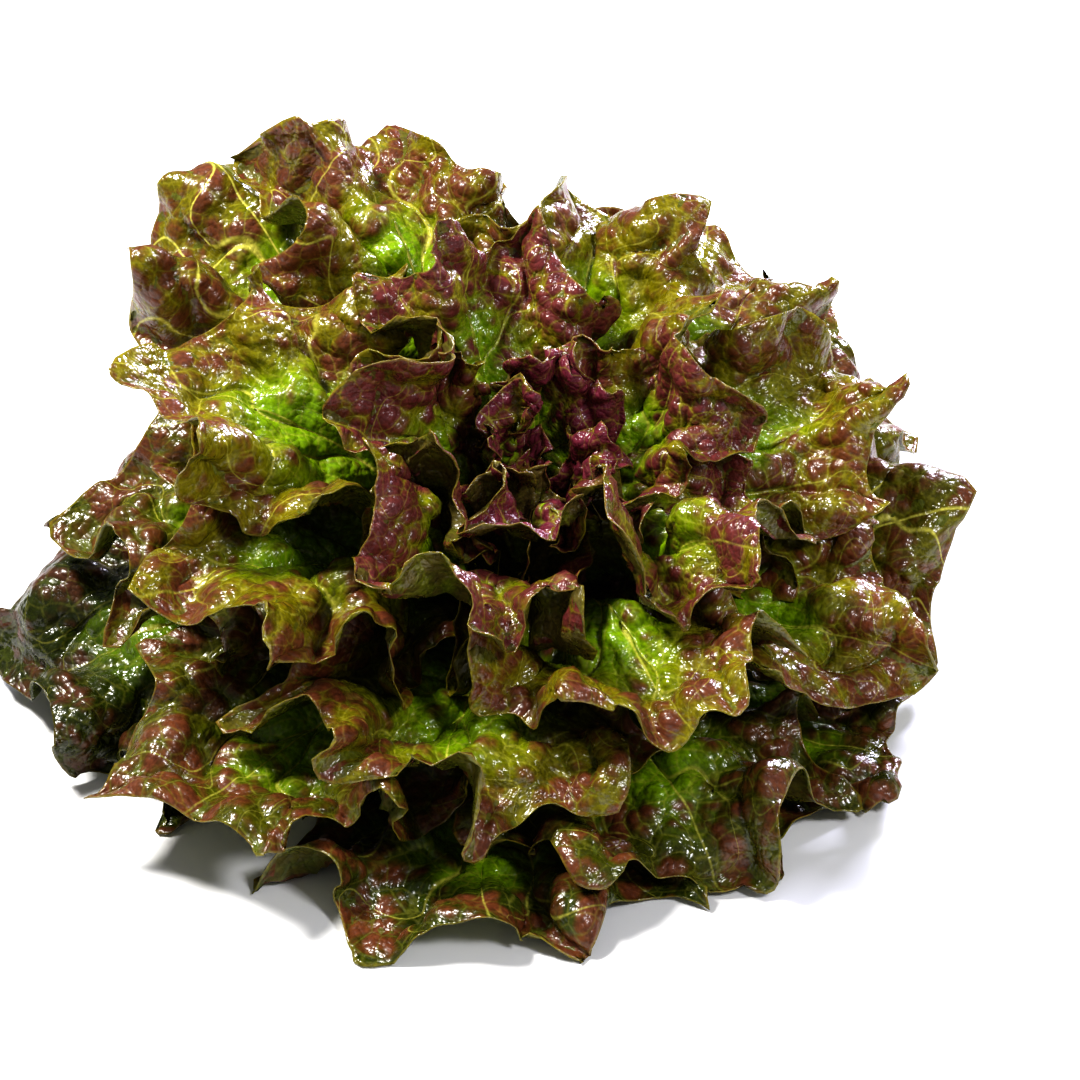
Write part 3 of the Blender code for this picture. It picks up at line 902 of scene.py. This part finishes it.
def stem_mesh():
    """The stem, leaned with the head and cut level at the surface."""
    shape = bmesh.new()
    rings = furrowed_rings(shape)
    tip = shape.verts.new((0, 0, FOOT_LOW + FOOT_RISE + STEM_TIP))
    for side in range(FINE_STEM_SIDES):
        beyond = (side + 1) % FINE_STEM_SIDES
        for lower, upper in zip(rings, rings[1:]):
            shape.faces.new((lower[side], lower[beyond], upper[beyond], upper[side]))
        shape.faces.new((rings[-1][side], rings[-1][beyond], tip))
    bmesh.ops.transform(shape, matrix=Matrix(LEAN_MATRIX.tolist()).to_4x4(), verts=shape.verts)
    everything = list(shape.verts) + list(shape.edges) + list(shape.faces)
    surface = {"plane_co": (0, 0, 0), "plane_no": (0, 0, 1), "clear_inner": True}
    cut = bmesh.ops.bisect_plane(shape, geom=everything, **surface)["geom_cut"]
    bmesh.ops.edgeloop_fill(shape, edges=[edge for edge in cut if isinstance(edge, bmesh.types.BMEdge)])
    bmesh.ops.recalc_face_normals(shape, faces=shape.faces)
    mesh = bpy.data.meshes.new("fine_stem")
    shape.to_mesh(mesh)
    shape.free()
    mesh.shade_smooth()
    mesh.set_sharp_from_angle(angle=STEM_SHARP)
    return mesh


def add_object(name, mesh, finish):
    mesh.materials.append(finish)
    thing = bpy.data.objects.new(name, mesh)
    bpy.context.scene.collection.objects.link(thing)
    return thing


def add_stem():
    piece = add_object("fine_stem", stem_mesh(), stem_material())
    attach(piece, "root")
    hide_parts("stem")


def add_leaves():
    finishes = {kind: leaf_material(kind) for kind in TONES}
    groups = {kind: blister_group(size) for kind, size in BLISTER_SIZE.items()}
    for number, leaf in enumerate(grown_leaves()):
        kind = kind_of(leaf)
        piece = add_object("blade_" + leaf.name, leaf_mesh(leaf, number), finishes[kind])
        piece.modifiers.new("Blisters", "NODES").node_group = groups[kind]
        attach(piece, "root")
        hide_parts("leaf_" + leaf.name)


def add_camera():
    lens = bpy.data.cameras.new("camera")
    lens.sensor_width = SENSOR_WIDTH
    lens.lens = SENSOR_WIDTH * VIEW_DISTANCE / VIEW_WIDTH
    lens.clip_start = 0.01
    camera = bpy.data.objects.new("camera", lens)
    bpy.context.scene.collection.objects.link(camera)
    back = Vector((0, -cos(VIEW_HEIGHT), sin(VIEW_HEIGHT)))
    camera.location = VIEW_AIM + back * VIEW_DISTANCE
    camera.rotation_euler = back.to_track_quat("Z", "Y").to_euler()
    bpy.context.scene.camera = camera


def add_light(name, at, watts, size, colour):
    light = bpy.data.lights.new(name, "AREA")
    light.energy = watts
    light.size = size
    light.color = colour
    lamp = bpy.data.objects.new(name, light)
    lamp.location = at
    lamp.rotation_euler = (Vector(at) - VIEW_AIM).to_track_quat("Z", "Y").to_euler()
    bpy.context.scene.collection.objects.link(lamp)


def add_studio():
    corners = [(-1, -1, 0), (1, -1, 0), (1, 1, 0), (-1, 1, 0)]
    corners = [(x * FLOOR_REACH, y * FLOOR_REACH, z) for x, y, z in corners]
    mesh = bpy.data.meshes.new("floor")
    mesh.from_pydata(corners, [], [(0, 1, 2, 3)])
    paper, _, shader = new_material("paper")
    shader.inputs["Base Color"].default_value = PAPER_WHITE
    shader.inputs["Roughness"].default_value = 0.8
    add_object("floor", mesh, paper)
    world = bpy.data.worlds.new("studio")
    world.use_nodes = True
    sky = world.node_tree.nodes["Background"]
    sky.inputs["Strength"].default_value = SKY_STRENGTH
    sky.inputs["Color"].default_value = (1, 1, 1, 1)
    bpy.context.scene.world = world
    bpy.context.scene.view_settings.view_transform = "Standard"
    bpy.context.scene.view_settings.look = "High Contrast"
    for light in LIGHTS:
        add_light(*light)


def main():
    add_leaves()
    add_stem()
    add_camera()
    add_studio()


main()
